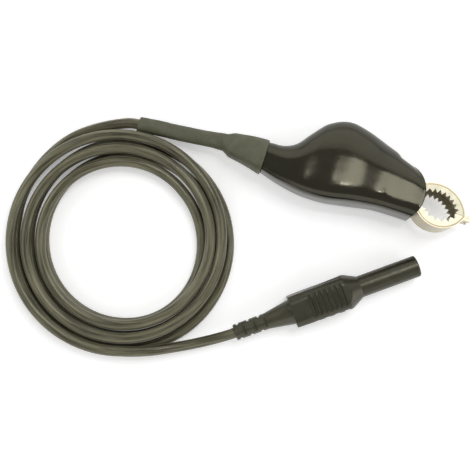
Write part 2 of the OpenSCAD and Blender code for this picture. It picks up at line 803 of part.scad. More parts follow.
// The pin: solder cup, collar, shank, the waist that the cage sits on, and a rounded nose.
cage_x = pin_root_x + 4;
nose_band_x = pin_nose_x - 3.4;
pin_waist_r = pin_r - 0.55;
module contact_pin_solid() {
    cup_depth = pin_collar_x - pin_cup_x - 1;
    difference() {
        turned([
            [pin_cup_x, 0],
            [pin_cup_x, pin_cup_r],
            [pin_collar_x, pin_cup_r],
            [pin_collar_x, pin_collar_r],
            [pin_collar_x + collar_len, pin_collar_r],
            [pin_collar_x + collar_len, pin_shank_r],
            [pin_root_x, pin_shank_r],
            [pin_root_x, pin_r],
            [cage_x, pin_r],
            [cage_x, pin_waist_r],
            [nose_band_x, pin_waist_r],
            [nose_band_x, pin_r],
            [pin_nose_x - 1.4, pin_r],
            [pin_nose_x - 0.7, pin_r * 0.86],
            [pin_nose_x - 0.2, pin_r * 0.6],
            [pin_nose_x, pin_r * 0.3],
            [pin_nose_x, 0]
        ]);
        turned([
            [pin_cup_x - 1, 0],
            [pin_cup_x - 1, conductor_r + fit_gap],
            [pin_cup_x + cup_depth, conductor_r + fit_gap],
            [pin_cup_x + cup_depth, 0]
        ]);
    }
}

// The cage: two bands round the pin's waist, joined by springs that bow outwards.
module contact_cage_solid() {
    wall = 0.12;
    band = 1;
    inner = pin_waist_r + 0.03;
    from = cage_x + 0.2;
    to = nose_band_x - 0.2;
    bow = cage_d / 2 - wall - inner;
    bow_steps = 6;
    function bowed(t) = [lerp(from + band, to - band, t), inner + bow * sin(180 * t)];
    under = [for (i = [0:bow_steps]) bowed(i / bow_steps)];
    over = [for (p = reversed(under)) p + [0, wall]];
    slot_w = PI * cage_d / cage_springs * 0.42;
    difference() {
        turned(concat(
            [[from, inner]],
            under,
            [[to, inner], [to, inner + wall]],
            over,
            [[from, inner + wall]]
        ));
        for (i = [0:cage_springs - 1])
            rotate([360 * i / cage_springs, 0, 0])
                translate([from + band, inner / 2, -slot_w / 2])
                    cube([to - from - 2 * band, cage_d, slot_w]);
    }
}
module plug_conductor_solid() {
    translate([jacket_end, 0, 0])
        rotate([0, 90, 0]) cylinder(r = conductor_r, h = pin_collar_x - 1.5 - jacket_end);
}

// ---- The named pieces ----

module lower_jaw() {
    color(nickel) place_clip() lower_jaw_solid();
}
module upper_jaw() {
    color(nickel) place_clip() upper_jaw_solid();
}
module pivot_rivet() {
    color(nickel) place_clip() rivet_solid();
}
module torsion_spring() {
    color(spring_steel) place_clip() torsion_spring_solid();
}
module insulating_boot() {
    color(vinyl_black) place_clip() insulating_boot_solid();
}
module heat_shrink_sleeve() {
    color(sleeve_grey) place_clip() heat_shrink_sleeve_solid();
}
module clip_conductor() {
    color(copper) place_clip() clip_conductor_solid();
}
module lead_clip_side() {
    color(cable_black) lead_clip_side_solid();
}
module cable_coil() {
    color(cable_black) cable_coil_solid();
}
module lead_plug_side() {
    color(cable_black) lead_plug_side_solid();
}
module strain_relief() {
    color(grip_black) place_plug() strain_relief_solid();
}
module plug_grip() {
    color(grip_black) place_plug() plug_grip_solid();
}
module plug_shroud() {
    color(grip_black) place_plug() plug_shroud_solid();
}
module contact_pin() {
    color(nickel) place_plug() contact_pin_solid();
}
module contact_cage() {
    color(gold) place_plug() contact_cage_solid();
}
module plug_conductor() {
    color(copper) place_plug() plug_conductor_solid();
}

lower_jaw();
upper_jaw();
pivot_rivet();
torsion_spring();
insulating_boot();
heat_shrink_sleeve();
clip_conductor();
lead_clip_side();
cable_coil();
lead_plug_side();
strain_relief();
plug_grip();
plug_shroud();
contact_pin();
contact_cage();
plug_conductor();
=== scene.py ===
"""Test lead: battery clip in a vinyl boot, coiled cable and shrouded safety plug.

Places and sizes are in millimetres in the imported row's frame, and MM turns them into Blender's metres.
The stage, the lamps and the numbers of the materials' nodes are in metres.
"""
import math

import bpy
import numpy as np
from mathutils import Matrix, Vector, noise


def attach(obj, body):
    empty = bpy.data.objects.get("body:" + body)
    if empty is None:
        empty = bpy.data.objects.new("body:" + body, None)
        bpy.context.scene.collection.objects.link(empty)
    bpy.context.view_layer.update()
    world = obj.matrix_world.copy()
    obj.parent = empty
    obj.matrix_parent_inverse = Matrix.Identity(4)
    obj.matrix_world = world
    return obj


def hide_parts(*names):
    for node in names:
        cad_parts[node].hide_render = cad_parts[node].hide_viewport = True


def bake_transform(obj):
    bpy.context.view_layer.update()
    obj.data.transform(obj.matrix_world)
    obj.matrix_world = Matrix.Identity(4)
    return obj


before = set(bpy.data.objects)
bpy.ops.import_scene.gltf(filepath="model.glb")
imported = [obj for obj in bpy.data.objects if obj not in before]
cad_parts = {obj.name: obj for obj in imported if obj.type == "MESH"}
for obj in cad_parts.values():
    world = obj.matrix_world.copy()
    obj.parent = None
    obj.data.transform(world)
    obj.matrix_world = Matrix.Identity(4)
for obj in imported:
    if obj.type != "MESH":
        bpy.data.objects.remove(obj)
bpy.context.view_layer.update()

MM = 0.001
ROOT = "lead"


# ---------------------------------------------------------------- small maths

def smooth(t):
    """From 0 to 1 with level ends, for t from 0 to 1."""
    t = min(max(t, 0.0), 1.0)
    return t * t * (3 - 2 * t)


def polar(r, degrees):
    angle = math.radians(degrees)
    return np.array([r * math.cos(angle), r * math.sin(angle)])


def unit(v):
    v = np.asarray(v, float)
    return v / np.linalg.norm(v)


def arrays(points):
    return [np.array(p, float) for p in points]


def between(a, b, start, end, t):
    """The value at t on the straight line from a, at start, to b, at end."""
    return (end - t) / (end - start) * a + (t - start) / (end - start) * b


def catmull(points, step):
    """Points about one step apart on a smooth curve through the given ones."""
    given = arrays(points)
    given = [2 * given[0] - given[1]] + given + [2 * given[-1] - given[-2]]
    out = []
    for i in range(1, len(given) - 2):
        a, b, c, d = given[i - 1:i + 3]
        at_b = np.linalg.norm(b - a) ** 0.5
        at_c = at_b + np.linalg.norm(c - b) ** 0.5
        at_d = at_c + np.linalg.norm(d - c) ** 0.5
        count = max(1, int(round(np.linalg.norm(c - b) / step)))
        for k in range(count):
            t = at_b + (at_c - at_b) * k / count
            ab = between(a, b, 0.0, at_b, t)
            bc = between(b, c, at_b, at_c, t)
            cd = between(c, d, at_c, at_d, t)
            abc = between(ab, bc, 0.0, at_c, t)
            bcd = between(bc, cd, at_b, at_d, t)
            out.append(between(abc, bcd, at_b, at_c, t))
    out.append(given[-2])
    return out


# ---------------------------------------------------------------- the clip's and the plug's own axes

CLIP_AT = np.array([34.7008, -7.90921, 12.705])
ROLL = math.radians(9)
CLIP_Y = np.array([0, math.cos(ROLL), -math.sin(ROLL)])
CLIP_Z = np.array([0, math.sin(ROLL), math.cos(ROLL)])
PLUG_EXIT = np.array([-6.1, -87.9, 7.5])
PLUG_WAY = np.array([*polar(1, 38.4), 0])


def clip(p):
    """A point of the clip's axes: x towards the jaws, y towards the upper lever, z along the rivet."""
    return CLIP_AT + np.array([p[0], 0, 0]) + p[1] * CLIP_Y + p[2] * CLIP_Z


def plug(x):
    """The point x millimetres along the plug from the cable's exit."""
    return PLUG_EXIT + x * PLUG_WAY


# ---------------------------------------------------------------- camera

# One pixel of the photograph's frame spans PIXEL millimetres of the table.
PIXEL, FRAME_PIXELS = 0.466, 470
SENSOR = 36
CAMERA_X, CAMERA_Y, CAMERA_HEIGHT = -20.05, -45.5, 400.0
CAMERA_TURN = 18.25


def look_down():
    """A camera that looks straight down, with the photograph's scale at the table's height."""
    data = bpy.data.cameras.new("camera")
    camera = bpy.data.objects.new("camera", data)
    bpy.context.scene.collection.objects.link(camera)
    camera.location = Vector((CAMERA_X, CAMERA_Y, CAMERA_HEIGHT)) * MM
    camera.rotation_euler = (0, 0, math.radians(CAMERA_TURN))
    data.sensor_fit = "HORIZONTAL"
    data.sensor_width = SENSOR
    data.lens = SENSOR * CAMERA_HEIGHT / (FRAME_PIXELS * PIXEL)
    data.clip_start = 0.01
    data.clip_end = 10
    bpy.context.scene.camera = camera


look_down()


# ---------------------------------------------------------------- nodes of the materials

# A Mix node's sockets for its first and second colour, and its output for the mixed one
MIX_FIRST, MIX_SECOND, MIX_RESULT = 6, 7, 2


def material(name):
    made = bpy.data.materials.new(name)
    made.use_nodes = True
    return made, made.node_tree, made.node_tree.nodes["Principled BSDF"]


def noise_at(tree, scale, detail=3.0, rough=0.55, stretch=None):
    """Noise of the given scale in the object's own coordinates, which stretch can scale along each axis."""
    where = tree.nodes.new("ShaderNodeTexCoord")
    source = where.outputs["Object"]
    if stretch:
        mapping = tree.nodes.new("ShaderNodeMapping")
        mapping.inputs["Scale"].default_value = stretch
        tree.links.new(source, mapping.inputs["Vector"])
        source = mapping.outputs["Vector"]
    return noise_on(tree, source, scale, detail, rough)


def noise_on(tree, source, scale, detail, rough):
    texture = tree.nodes.new("ShaderNodeTexNoise")
    texture.inputs["Scale"].default_value = scale
    texture.inputs["Detail"].default_value = detail
    texture.inputs["Roughness"].default_value = rough
    tree.links.new(source, texture.inputs["Vector"])
    return texture.outputs["Fac"]


def ramp(tree, source, low, high, start=0.3, end=0.7):
    """A number that is low up to start and high from end on."""
    node = tree.nodes.new("ShaderNodeMapRange")
    node.inputs["From Min"].default_value = start
    node.inputs["From Max"].default_value = end
    node.inputs["To Min"].default_value = low
    node.inputs["To Max"].default_value = high
    tree.links.new(source, node.inputs["Value"])
    return node.outputs["Result"]


def colours(tree, source, low, high, start=0.3, end=0.7):
    """A colour that is low up to start and high from end on."""
    node = tree.nodes.new("ShaderNodeValToRGB")
    node.color_ramp.elements[0].position = start
    node.color_ramp.elements[1].position = end
    node.color_ramp.elements[0].color = (*low, 1)
    node.color_ramp.elements[1].color = (*high, 1)
    tree.links.new(source, node.inputs["Fac"])
    return node.outputs["Color"]


def mixed(tree, factor, low, high):
    """A colour that is low where the factor is 0 and high, an output or a fixed colour, where it is 1."""
    node = tree.nodes.new("ShaderNodeMix")
    node.data_type = "RGBA"
    tree.links.new(factor, node.inputs["Factor"])
    tree.links.new(low, node.inputs[MIX_FIRST])
    if isinstance(high, tuple):
        node.inputs[MIX_SECOND].default_value = (*high, 1)
    else:
        tree.links.new(high, node.inputs[MIX_SECOND])
    return node.outputs[MIX_RESULT]


def math_node(tree, operation, first, second=None):
    """The result of a Math node, whose second value is a number or another node's output."""
    node = tree.nodes.new("ShaderNodeMath")
    node.operation = operation
    tree.links.new(first, node.inputs[0])
    if isinstance(second, float):
        node.inputs[1].default_value = second
    elif second is not None:
        tree.links.new(second, node.inputs[1])
    return node.outputs[0]


def vector_node(tree, operation, first, second=None):
    """The outputs of a Vector Math node, whose second value is a fixed vector."""
    node = tree.nodes.new("ShaderNodeVectorMath")
    node.operation = operation
    tree.links.new(first, node.inputs[0])
    if second is not None:
        node.inputs[1].default_value = second
    return node.outputs


def bumps(tree, shader, *layers):
    """Bumps on top of one another. A layer is its height, its distance in metres and its strength."""
    below = None
    for height, distance, strength in layers:
        node = tree.nodes.new("ShaderNodeBump")
        node.inputs["Distance"].default_value = distance
        node.inputs["Strength"].default_value = strength
        tree.links.new(height, node.inputs["Height"])
        if below is not None:
            tree.links.new(below, node.inputs["Normal"])
        below = node.outputs["Normal"]
    tree.links.new(below, shader.inputs["Normal"])


def clouded(name, low, high, cloud, roughness, patches, metallic=0.0):
    """A material whose colour and roughness vary between two limits each.

    cloud and patches are noise_at's settings for the colour and for the roughness. Where roughness is
    None, it is left to the caller.
    """
    made, tree, shader = material(name)
    shader.inputs["Metallic"].default_value = metallic
    tree.links.new(colours(tree, noise_at(tree, **cloud), low, high), shader.inputs["Base Color"])
    if roughness:
        tree.links.new(ramp(tree, noise_at(tree, **patches), *roughness), shader.inputs["Roughness"])
    return made, tree, shader


def reflection(shader, level, tint):
    shader.inputs["Specular IOR Level"].default_value = level
    shader.inputs["Specular Tint"].default_value = (*tint, 1)


# ---------------------------------------------------------------- soft materials and plastics

def vinyl():
    """Glossy dipped vinyl with slow waves and a little orange peel."""
    made, tree, shader = clouded(
        "glossy_vinyl", low=(0.0065, 0.0058, 0.0032), high=(0.011, 0.0098, 0.0056),
        cloud=dict(scale=45, detail=2.0), roughness=(0.11, 0.20), patches=dict(scale=160, detail=4.0),
    )
    reflection(shader, level=0.52, tint=(1.0, 0.955, 0.72))
    bumps(
        tree, shader,
        (noise_at(tree, scale=95, detail=2.0), 0.00016, 0.5),
        (noise_at(tree, scale=900), 0.00003, 0.5),
    )
    return made


def heat_shrink():
    """Matte shrunk tube with long shallow folds and a fine grain."""
    made, tree, shader = clouded(
        "heat_shrink", low=(0.058, 0.059, 0.032), high=(0.090, 0.091, 0.052),
        cloud=dict(scale=220, detail=5.0), roughness=(0.5, 0.68), patches=dict(scale=500, detail=4.0),
    )
    bumps(
        tree, shader,
        (noise_at(tree, scale=60, rough=0.6, stretch=(0.35, 1.8, 1.8)), 0.0005, 0.5),
        (noise_at(tree, scale=2600, detail=4.0), 0.00003, 0.6),
    )
    return made


def jacket():
    """Soft jacket with long, faint streaks along it, from the cable mesh's own lengthwise coordinates."""
    made, tree, shader = material("silicone_jacket")
    place = tree.nodes.new("ShaderNodeAttribute")
    place.attribute_name = "lengthwise"
    streak = noise_on(tree, place.outputs["Vector"], scale=1.7, detail=4.0, rough=0.62)
    dark, light = (0.026, 0.024, 0.0125), (0.165, 0.157, 0.098)
    tree.links.new(colours(tree, streak, dark, light, start=0.36, end=0.68), shader.inputs["Base Color"])
    tree.links.new(ramp(tree, streak, low=0.24, high=0.40), shader.inputs["Roughness"])
    reflection(shader, level=0.6, tint=(1.0, 0.96, 0.78))
    shader.inputs["Sheen Weight"].default_value = 0.4
    shader.inputs["Sheen Roughness"].default_value = 0.3
    shader.inputs["Sheen Tint"].default_value = (0.95, 0.90, 0.70, 1)
    bumps(
        tree, shader,
        (streak, 0.00012, 0.5),
        (noise_at(tree, scale=1500, detail=4.0), 0.00003, 0.5),
    )
    return made


def moulded(name, low, high):
    """Moulded plastic with a fine spark-eroded grain."""
    made, tree, shader = clouded(
        name, low, high,
        cloud=dict(scale=260, detail=4.0), roughness=(0.28, 0.42), patches=dict(scale=900, detail=4.0),
    )
    reflection(shader, level=0.68, tint=(1.0, 0.96, 0.76))
    bumps(
        tree, shader,
        (noise_at(tree, scale=3200, detail=5.0, rough=0.7), 0.00004, 0.5),
        (noise_at(tree, scale=300, detail=2.0), 0.00008, 0.4),
    )
    return made


# ---------------------------------------------------------------- metals

def plated(name, low, high, roughness=(0.16, 0.28)):
    """Plated metal with a cloudy colour and faint marks from its rolling."""
    made, tree, shader = clouded(
        name, low, high, cloud=dict(scale=240, detail=5.0, rough=0.6),
        roughness=roughness, patches=dict(scale=420, detail=4.0), metallic=1.0,
    )
    bumps(
        tree, shader,
        (noise_at(tree, scale=700, detail=4.0, rough=0.6, stretch=(0.3, 1, 1)), 0.00004, 0.6),
        (noise_at(tree, scale=3500), 0.00001, 0.5),
    )
    return made


def wire():
    """Drawn spring wire."""
    made, tree, shader = clouded(
        "spring_wire", low=(0.35, 0.35, 0.36), high=(0.55, 0.55, 0.56), cloud=dict(scale=500, detail=4.0),
        roughness=(0.28, 0.45), patches=dict(scale=800, detail=4.0), metallic=1.0,
    )
    bumps(tree, shader, (noise_at(tree, scale=2500), 0.00002, 0.6))
    return made


def strands():
    """Bare copper, with waves across the rod for its strands."""
    made, tree, shader = clouded(
        "copper_strands", low=(0.55, 0.26, 0.15), high=(0.80, 0.46, 0.30), cloud=dict(scale=900, detail=4.0),
        roughness=(0.3, 0.5), patches=dict(scale=700, detail=4.0), metallic=1.0,
    )
    where = tree.nodes.new("ShaderNodeTexCoord")
    wave = tree.nodes.new("ShaderNodeTexWave")
    wave.inputs["Scale"].default_value = 900
    wave.inputs["Distortion"].default_value = 0.4
    tree.links.new(where.outputs["Object"], wave.inputs["Vector"])
    bumps(tree, shader, (wave.outputs["Fac"], 0.0001, 0.8))
    return made


# The jaws are rings that meet at the nose, and these measures go inwards from a ring's radius. The flange's
# look fades to RIM_SHARE of it from RIM_START to RIM_END, where its edge is rolled over, and the web's
# warmer, darker colour of painted shade and reflection takes its place there. A dark line of painted shade
# runs at LINE_INSET, full over LINE_CORE and gone at LINE_EDGE on each side of it.
JAW_NOSE = np.array([39.8, 1.2])
RIM_START, RIM_END, RIM_SHARE = 1.15, 0.5, 0.12
# The dark line is painted shade of a groove along the rolled edge; the mesh has no such groove.
LINE_INSET, LINE_CORE, LINE_EDGE = 0.62, 0.16, 0.38
SHADE_LINE_COLOUR = (0.23, 0.19, 0.11)
# Painted shade and reflection: the web and the rolled rim get this warmer, darker colour in place of the
# nickel's own.
SHADED_WEB_LOW, SHADED_WEB_HIGH = (0.43, 0.385, 0.28), (0.53, 0.48, 0.365)
WEB_ROUGH, FLANGE_ROUGH = 0.34, 0.48


def facing_rivet(tree):
    """How squarely the surface looks along the rivet: 1 on the flanges, 0 on the web."""
    where = tree.nodes.new("ShaderNodeNewGeometry")
    along = vector_node(tree, "DOT_PRODUCT", where.outputs["Normal"], tuple(CLIP_Z))
    return math_node(tree, "ABSOLUTE", along["Value"])


def from_ring_axis(tree, node, centre):
    """Distance in metres from the axis of the jaw's ring."""
    axis_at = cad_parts[node].matrix_world.inverted() @ Vector(clip((*centre, 0)) * MM)
    place = tree.nodes.new("ShaderNodeTexCoord")
    off = vector_node(tree, "SUBTRACT", place.outputs["Object"], axis_at)
    across = vector_node(tree, "CROSS_PRODUCT", off["Vector"], tuple(CLIP_Z))
    return vector_node(tree, "LENGTH", across["Vector"])["Value"]


def jaw_plate_and_painted_shade(node, radius, towards_nose, low, high):
    """Nickel that is bright on the flanges' broad faces, with painted shade and reflection in a warmer,
    darker colour on their rim and the web, which are also smoother.
    """
    made = plated("jaw_plate_and_painted_shade_" + node, low, high, roughness=None)
    tree = made.node_tree
    shader = tree.nodes["Principled BSDF"]
    bright = shader.inputs["Base Color"].links[0].from_socket
    # painted shade and reflection for the web and the rim, chosen below by the surface's direction
    web = colours(tree, noise_at(tree, scale=700, detail=4.0), SHADED_WEB_LOW, SHADED_WEB_HIGH)
    reach = from_ring_axis(tree, node, JAW_NOSE - polar(radius, towards_nose))
    inside = ramp(tree, reach, 1.0, RIM_SHARE, (radius - RIM_START) * MM, (radius - RIM_END) * MM)
    broad = ramp(tree, facing_rivet(tree), low=0.0, high=1.0, start=0.55, end=0.97)
    flange = math_node(tree, "MULTIPLY", broad, inside)
    off_line = math_node(tree, "SUBTRACT", reach, (radius - LINE_INSET) * MM)
    from_line = math_node(tree, "ABSOLUTE", off_line)
    # painted shade: a dark line along the rolled edge, over the flange's and the web's colours
    line = ramp(tree, from_line, 1.0, 0.0, LINE_CORE * MM, LINE_EDGE * MM)
    plate = mixed(tree, line, mixed(tree, flange, web, bright), SHADE_LINE_COLOUR)
    tree.links.new(plate, shader.inputs["Base Color"])
    tree.links.new(ramp(tree, flange, WEB_ROUGH, FLANGE_ROUGH, 0.0, 1.0), shader.inputs["Roughness"])
    return made


VINYL = vinyl()
SHRINK = heat_shrink()
JACKET = jacket()
GRIP = moulded("moulded_grip", low=(0.010, 0.0094, 0.0046), high=(0.018, 0.017, 0.0088))
SHROUD = moulded("moulded_shroud", low=(0.012, 0.0111, 0.0054), high=(0.020, 0.0185, 0.0097))
RELIEF = moulded("moulded_relief", low=(0.020, 0.019, 0.011), high=(0.032, 0.030, 0.018))
NICKEL = plated("nickel_plate", low=(0.62, 0.59, 0.50), high=(0.80, 0.77, 0.68))
# The upper jaw's nickel is darker than the lower jaw's: painted shade that dims the key lamp's highlight on
# its flange.
SHADED_UPPER_PLATE = jaw_plate_and_painted_shade(
    "upper_jaw", radius=14.8, towards_nose=16, low=(0.43, 0.408, 0.318), high=(0.57, 0.542, 0.43),
)
LOWER_PLATE = jaw_plate_and_painted_shade(
    "lower_jaw", radius=12.4, towards_nose=-17, low=(0.54, 0.51, 0.39), high=(0.68, 0.65, 0.51),
)
GOLD = plated("gold_plate", low=(0.62, 0.44, 0.17), high=(0.86, 0.67, 0.32))
WIRE = wire()
COPPER = strands()


# ---------------------------------------------------------------- meshes

def give(obj, finish):
    """Make the finish the object's only material."""
    obj.data.materials.clear()
    obj.data.materials.append(finish)


def mesh_object(name, verts, faces, finish):
    """A smooth-shaded piece from vertices in millimetres."""
    data = bpy.data.meshes.new(name)
    data.from_pydata([tuple(float(c) * MM for c in v) for v in verts], [], faces)
    data.update()
    for face in data.polygons:
        face.use_smooth = True
    obj = bpy.data.objects.new(name, data)
    bpy.context.scene.collection.objects.link(obj)
    give(obj, finish)
    return obj


def skin(rings, closed=True):
    """Vertices and faces of a tube of rings. A closed one joins its last ring to its first."""
    sides = len(rings[0])
    verts = [v for ring in rings for v in ring]
    faces = []
    for i in range(len(rings) if closed else len(rings) - 1):
        j = (i + 1) % len(rings)
        for k in range(sides):
            q = (k + 1) % sides
            faces.append((i * sides + k, j * sides + k, j * sides + q, i * sides + q))
    return verts, faces


def capped(rings):
    """Vertices and faces of an open tube of rings with a flat face at each end."""
    sides, last = len(rings[0]), len(rings) - 1
    verts, faces = skin(rings, closed=False)
    return verts, faces + [tuple(range(sides)), tuple(last * sides + k for k in reversed(range(sides)))]


def tube_rings(points, r, sides):
    """Rings of radius r round a path. Each one's points start above the path."""
    rings, last = [], len(points) - 1
    angles = [2 * math.pi * k / sides for k in range(sides)]
    for i, p in enumerate(points):
        way = unit(points[min(i + 1, last)] - points[max(i - 1, 0)])
        side = unit(np.cross([0, 0, 1], way))
        up = np.cross(way, side)
        rings.append([p + r * (math.sin(a) * side + math.cos(a) * up) for a in angles])
    return rings


# ---------------------------------------------------------------- the cable, first of the pieces

CABLE_R = 2.4
CABLE_SIDES = 20
LEAD_STEP = 2.4
SLEEVE_ROUTE = [
    (-70.5, 1.3, -2.3), (-75, 1.3, -3.2), (-85, 0.6, -5.5),
    (-95, -0.1, -7.2), (-104, -0.8, -7.7), (-112.6, -1.9, -7.9),
]
GROUND_ROUTE = [
    (-82, -11.7, 4.8), (-88.5, -14.3, 3.1), (-96, -18.5, CABLE_R), (-103.5, -24.3, CABLE_R),
    (-109.4, -31.2, CABLE_R), (-114.2, -39.8, CABLE_R), (-117.3, -48.4, CABLE_R), (-118.9, -56.5, CABLE_R),
]
AIR_ROUTE = [(-40, -107.8, 7.5), (-31, -103.5, 6.2), (-22, -98.6, 5.8), (-14, -93.6, 6.6)]
IN_PLUG = (-2.0, 6.1, 14.0)

# The coil winds inwards and out again. Its centre drifts and it climbs to its upper layer halfway.
COIL_CENTRE, COIL_DRIFT = np.array([-67.5, -64.6]), np.array([-2.3, 0.5])
COIL_LEAN = np.array([0.7, 0.15])
COIL_R, COIL_PITCH, COIL_CLIMB = 51.1, 6.05, 5.3
COIL_IN, COIL_OUT = 185.0, 289.0
COIL_TURNS = 5 + (COIL_OUT - COIL_IN) / 360
COIL_POINTS = 540
DRIFT_AHEAD, DRIFT_TURNS, CLIMB_TURNS = 0.35, 0.3, 0.5

# One turn of the streaks takes 2 pi TWIST, and STREAK_RATE is how fast they change along the cable.
TWIST, STREAK_RATE = 90, 0.022


def coil_point(turn):
    inwards = min(turn, COIL_TURNS - turn)
    past = turn - COIL_TURNS / 2
    drift = smooth((past + DRIFT_AHEAD) / DRIFT_TURNS) * COIL_DRIFT
    centre = COIL_CENTRE + drift + inwards * COIL_LEAN
    p = centre + polar(COIL_R - COIL_PITCH * inwards, COIL_IN + 360 * turn)
    return np.array([p[0], p[1], CABLE_R + COIL_CLIMB * smooth(past / CLIMB_TURNS + 0.5)])


def cable_route():
    """The cable's centreline from the sleeve's mouth to inside the plug."""
    coil = [coil_point(COIL_TURNS * i / COIL_POINTS) for i in range(COIL_POINTS + 1)]
    start_way, end_way = unit(coil[1] - coil[0]), unit(coil[-1] - coil[-2])
    into_coil = [coil[0] - 2 * CABLE_R * start_way, coil[0]]
    out_of_coil = [coil[-1], coil[-1] + 2 * CABLE_R * end_way]
    in_sleeve = [clip(p) for p in SLEEVE_ROUTE[2:]]
    lead_in = catmull(in_sleeve + arrays(GROUND_ROUTE) + into_coil, LEAD_STEP)
    lead_out = catmull(out_of_coil + arrays(AIR_ROUTE) + [plug(x) for x in IN_PLUG], LEAD_STEP)
    return lead_in[:-1] + coil + lead_out[1:]


def lengthwise_places(route):
    """For each vertex, a place on a straight twisted tube of unit radius, for the jacket's streaks."""
    places, along = [], 0.0
    for i, p in enumerate(route):
        along += float(np.linalg.norm(p - route[max(i - 1, 0)]))
        for k in range(CABLE_SIDES):
            angle = 2 * math.pi * k / CABLE_SIDES + along / TWIST
            places.append((math.cos(angle), math.sin(angle), along * STREAK_RATE))
    return places


def build_cable(route):
    verts, faces = capped(tube_rings(route, CABLE_R, CABLE_SIDES))
    obj = mesh_object("cable", verts, faces, JACKET)
    attribute = obj.data.attributes.new("lengthwise", "FLOAT_VECTOR", "POINT")
    attribute.data.foreach_set("vector", np.array(lengthwise_places(route), np.float32).ravel())
    return obj


cable_points = cable_route()
cable = build_cable(cable_points)
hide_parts("lead_clip_side", "cable_coil", "lead_plug_side")
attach(cable, ROOT)


# ---------------------------------------------------------------- boot

# The boot's sections on the clip's axes: x, lowest y, highest y, half of the height, z of the middle
BOOT = [
    (-69, -3.3, 5.9, 4.4, -2.1), (-60, -5.1, 6.9, 5.5, -0.8), (-52, -7.3, 7.2, 6.5, 0),
    (-46, -9.0, 7.8, 7.4, 0), (-41, -10.0, 10.6, 8.3, 0), (-36, -10.9, 17.1, 9.1, 0),
    (-30, -11.4, 24.0, 9.7, 0), (-21, -11.0, 28.0, 10.9, 0), (-12, -9.3, 26.7, 11.4, 0),
    (0, -7.1, 22.6, 10.3, 0), (10, -6.6, 19.3, 10.5, 0), (14, -6.6, 17.3, 10.4, 0),
]
BOOT_REAR, BOOT_FRONT = -69.0, 14.0
BOOT_SIDES, BOOT_STEPS, BOOT_INNER_EVERY = 128, 150, 3
BOOT_WALL, BOOT_SKIN = 1.6, 0.02

# A section is squarer towards the lower lever. It is thinner towards the upper lever and thicker towards the
# lower one, by TAPER where half its width is TAPER_FULL or more.
LOW_POWER, HIGH_POWER = 0.5, 0.95
TAPER, TAPER_FULL = 0.14, 15

# The mouth's rim is an arc of radius MOUTH_R round MOUTH_Y, straight from MOUTH_SPAN of the radius on. The
# sections bend towards it from MOUTH_FROM on.
MOUTH_REACH, MOUTH_R, MOUTH_Y, MOUTH_SPAN, MOUTH_FROM = 19.1, 18.0, 2.5, 0.9, 2
LIP_ANGLES, LIP_REACH = (15, 35, 60, 90, 120, 145, 165), 0.55

# Swells of the dipped skin, and the rivet's head that shows through it
SWELL_RATE, SWELL = (0.09, 0.09, 0.12), 0.22
RIVET_X, RIVET_Y, RIVET_RISE, RIVET_SPREAD = 0.8, -1.2, 0.28, 3.0


def row_at(x):
    """The boot's section at x, on smooth curves through the given ones."""
    rows = arrays(BOOT)
    i = 0
    while i < len(rows) - 2 and x >= rows[i + 1][0]:
        i += 1

    def slope(k):
        before, after = max(k - 1, 0), min(k + 1, len(rows) - 1)
        return (rows[after] - rows[before]) / (rows[after][0] - rows[before][0])

    width = rows[i + 1][0] - rows[i][0]
    u = (x - rows[i][0]) / width
    leaving = slope(i) * width * u * (1 - u) ** 2
    arriving = slope(i + 1) * width * (1 - u) * u ** 2
    return rows[i] + (rows[i + 1] - rows[i]) * smooth(u) + leaving - arriving


def boot_relief(p):
    """How far the outer skin stands out at a point of it. Only the rivet's head lifts it."""
    wave = noise.noise(Vector([c * rate for c, rate in zip(p, SWELL_RATE)]))
    rivet = 0.0
    if p[2] > 0:
        rivet = RIVET_RISE * math.exp(-((p[0] - RIVET_X) ** 2 + (p[1] - RIVET_Y) ** 2) / RIVET_SPREAD)
    return -SWELL * (0.5 + 0.5 * wave) + rivet


def boot_corner(x, degrees, inset, relief=False):
    """Point of the section at x, on the clip's axes. Degrees turn from the top towards the upper lever."""
    _, low, high, half_height, middle = row_at(x)
    s, c = math.sin(math.radians(degrees)), math.cos(math.radians(degrees))
    power = LOW_POWER if s < 0 else HIGH_POWER

    def bent(v):
        return math.copysign(abs(v) ** power, v)

    half = (high - low) / 2 - inset
    taper = TAPER * s * min(1, half / TAPER_FULL)
    y = (low + high) / 2 + half * bent(s)
    z = middle + (half_height - inset) * (1 - taper) * bent(c)
    off = min(abs(y - MOUTH_Y), MOUTH_SPAN * MOUTH_R)
    front = MOUTH_REACH - MOUTH_R + math.sqrt(MOUTH_R ** 2 - off ** 2)
    ahead = smooth((x - MOUTH_FROM) / (BOOT_FRONT - MOUTH_FROM))
    p = np.array([x + ahead * (front - BOOT_FRONT), y, z])
    if relief:
        p[1:] += boot_relief(p) * np.array([s, c])
    return p


def boot_ring(x, inset, sides, ahead=0.0, relief=False):
    return [
        clip(boot_corner(x, 360 * k / sides, inset, relief) + np.array([ahead, 0, 0]))
        for k in range(sides)
    ]


def boot_lip():
    """The rim's rings, rounded over from the outer skin to the inner one."""
    rings = []
    for degrees in LIP_ANGLES:
        angle = math.radians(degrees)
        inset = BOOT_WALL * (0.5 - 0.5 * math.cos(angle))
        rings.append(boot_ring(BOOT_FRONT, inset, BOOT_SIDES, ahead=LIP_REACH * math.sin(angle)))
    return rings


def build_boot():
    """Outer skin from the neck to the mouth, over the lip and back inside with fewer rings."""
    places = [BOOT_REAR + (BOOT_FRONT - BOOT_REAR) * i / BOOT_STEPS for i in range(BOOT_STEPS + 1)]
    outer = [boot_ring(x, BOOT_SKIN, BOOT_SIDES, relief=True) for x in places]
    inner = [boot_ring(x, BOOT_WALL, BOOT_SIDES) for x in reversed(places[::BOOT_INNER_EVERY])]
    verts, faces = skin(outer + boot_lip() + inner)
    return mesh_object("boot", verts, faces, VINYL)


boot = build_boot()
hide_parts("insulating_boot")
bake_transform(boot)


# ---------------------------------------------------------------- torsion spring

